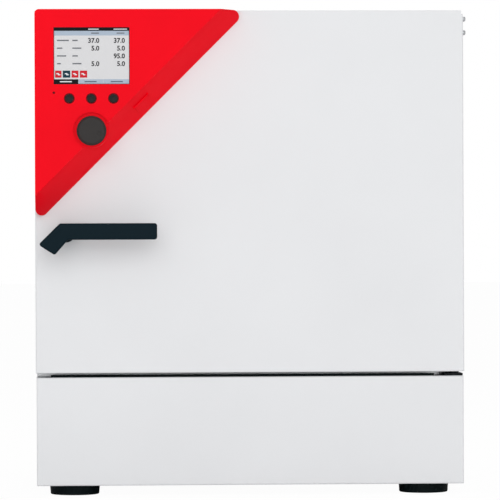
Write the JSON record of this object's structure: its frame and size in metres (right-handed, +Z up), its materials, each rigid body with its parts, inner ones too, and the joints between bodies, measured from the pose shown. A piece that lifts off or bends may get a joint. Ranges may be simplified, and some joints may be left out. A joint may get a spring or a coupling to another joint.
{
  "type": "carbon dioxide incubator",
  "caption": "White bench CO2 incubator with a hinged door, bent dark lever handle, red triangular control panel, inner glass door, steel chamber, shelves and water pan.",
  "frame": {"origin": "on the table, under the centre of the whole object", "axes": "+Z up, +X to the right seen from the front, the door's front faces -Y"},
  "size_m": [0.5848, 0.636, 0.655],
  "materials": {
    "white_coat": "satin",
    "steel": "brushed",
    "zinc": "satin",
    "aluminium": "satin",
    "foam": "matte",
    "silicone": "matte",
    "black_rubber": "matte",
    "red_plastic": "gloss",
    "dark_plastic": "satin",
    "grey_plastic": "matte",
    "glass": "gloss",
    "display": "gloss",
    "board": "satin"
  },
  "bodies": {
    "cabinet": {"outer_casing": "white_coat", "base_pan": "zinc", "lower_front_panel": "white_coat", "compartment_floor": "zinc", "rear_panel": "white_coat", "front_frame": "steel", "inner_chamber": "steel", "heating_jacket": "aluminium", "chamber_insulation": "foam", "access_port_sleeve": "steel", "gas_mixing_head": "steel", "co2_sensor": "steel", "temperature_probe": "steel", "feet": "black_rubber", "inner_door_gasket": "silicone", "hinge_bracket_upper": "zinc", "hinge_bracket_lower": "zinc", "hinge_pin_lower": "zinc", "sill_strip": "black_rubber", "latch_strike": "zinc", "strike_roller": "zinc", "power_inlet": "dark_plastic", "switch_frame": "dark_plastic", "ethernet_socket": "zinc", "gas_inlets": "zinc", "power_supply": "aluminium", "control_board": "board", "gas_valve_block": "aluminium", "glass_hinge_posts": "steel"},
    "door": {"door_skin": "white_coat", "door_insulation": "foam", "door_liner": "steel", "door_gasket": "silicone", "door_hinge_upper": "zinc", "door_hinge_lower": "zinc", "door_hinge_screws": "zinc", "control_housing": "red_plastic", "display_glass": "glass", "display_module": "display", "button_board": "board", "encoder": "zinc", "usb_socket": "zinc", "handle_rosette": "dark_plastic"},
    "glass_door": {"inner_glass": "glass", "glass_hinge_clamps": "steel", "glass_door_knob": "dark_plastic"},
    "handle": {"handle_lever": "dark_plastic", "latch_spindle": "zinc"},
    "control_knob": {"control_knob": "grey_plastic"},
    "button_1": {"button_1": "dark_plastic"},
    "button_2": {"button_2": "dark_plastic"},
    "button_3": {"button_3": "dark_plastic"},
    "usb_cover": {"usb_cover": "red_plastic"},
    "power_switch": {"power_switch": "dark_plastic"},
    "port_plug": {"port_plug": "silicone"},
    "shelf_1": {"shelf_1": "steel"},
    "shelf_2": {"shelf_2": "steel"},
    "shelf_3": {"shelf_3": "steel"},
    "water_pan": {"water_pan": "steel"}
  },
  "joints": [
    {"name": "door_swing", "type": "hinge", "parent": "cabinet", "child": "door", "pos_m": [0.278, -0.236, 0.41], "axis": [0, 0, 1], "range_deg": [0, 115]},
    {"name": "glass_door_swing", "type": "hinge", "parent": "cabinet", "child": "glass_door", "pos_m": [0.219, -0.1895, 0.409], "axis": [0, 0, 1], "range_deg": [0, 100.5]},
    {"name": "handle_turn", "type": "hinge", "parent": "door", "child": "handle", "pos_m": [-0.2485, -0.264, 0.3544], "axis": [0, -1, 0], "range_deg": [0, 45]},
    {"name": "knob_turn", "type": "hinge", "parent": "door", "child": "control_knob", "pos_m": [-0.2138, -0.31, 0.4912], "axis": [0, -1, 0], "continuous": true},
    {"name": "usb_cover_flip", "type": "hinge", "parent": "door", "child": "usb_cover", "pos_m": [-0.14718, -0.29384, 0.53118], "axis": [-0.7071, 0, -0.7071], "range_deg": [0, 90]},
    {"name": "power_switch_rock", "type": "hinge", "parent": "cabinet", "child": "power_switch", "pos_m": [0.155, 0.282, 0.0695], "axis": [1, 0, 0], "range_deg": [-8, 8]},
    {"name": "port_plug_pull", "type": "slide", "parent": "cabinet", "child": "port_plug", "axis": [0, 1, 0], "range_m": [0, 0.05]},
    {"name": "water_pan_slide", "type": "slide", "parent": "cabinet", "child": "water_pan", "axis": [0, -1, 0], "range_m": [0, 0.02]},
    {"name": "button_1_press", "type": "slide", "parent": "door", "child": "button_1", "axis": [0, 1, 0], "range_m": [0, 0.0012], "stiffness_N_per_m": 400, "springref_m": -0.0005},
    {"name": "shelf_1_slide", "type": "slide", "parent": "cabinet", "child": "shelf_1", "axis": [0, -1, 0], "range_m": [0, 0.02]},
    {"name": "button_2_press", "type": "slide", "parent": "door", "child": "button_2", "axis": [0, 1, 0], "range_m": [0, 0.0012], "stiffness_N_per_m": 400, "springref_m": -0.0005},
    {"name": "shelf_2_slide", "type": "slide", "parent": "cabinet", "child": "shelf_2", "axis": [0, -1, 0], "range_m": [0, 0.02]},
    {"name": "button_3_press", "type": "slide", "parent": "door", "child": "button_3", "axis": [0, 1, 0], "range_m": [0, 0.0012], "stiffness_N_per_m": 400, "springref_m": -0.0005},
    {"name": "shelf_3_slide", "type": "slide", "parent": "cabinet", "child": "shelf_3", "axis": [0, -1, 0], "range_m": [0, 0.02]}
  ],
  "couplings": [
    {"joint": "glass_door_swing", "follows": "door_swing", "ratio": 0.87}
  ]
}
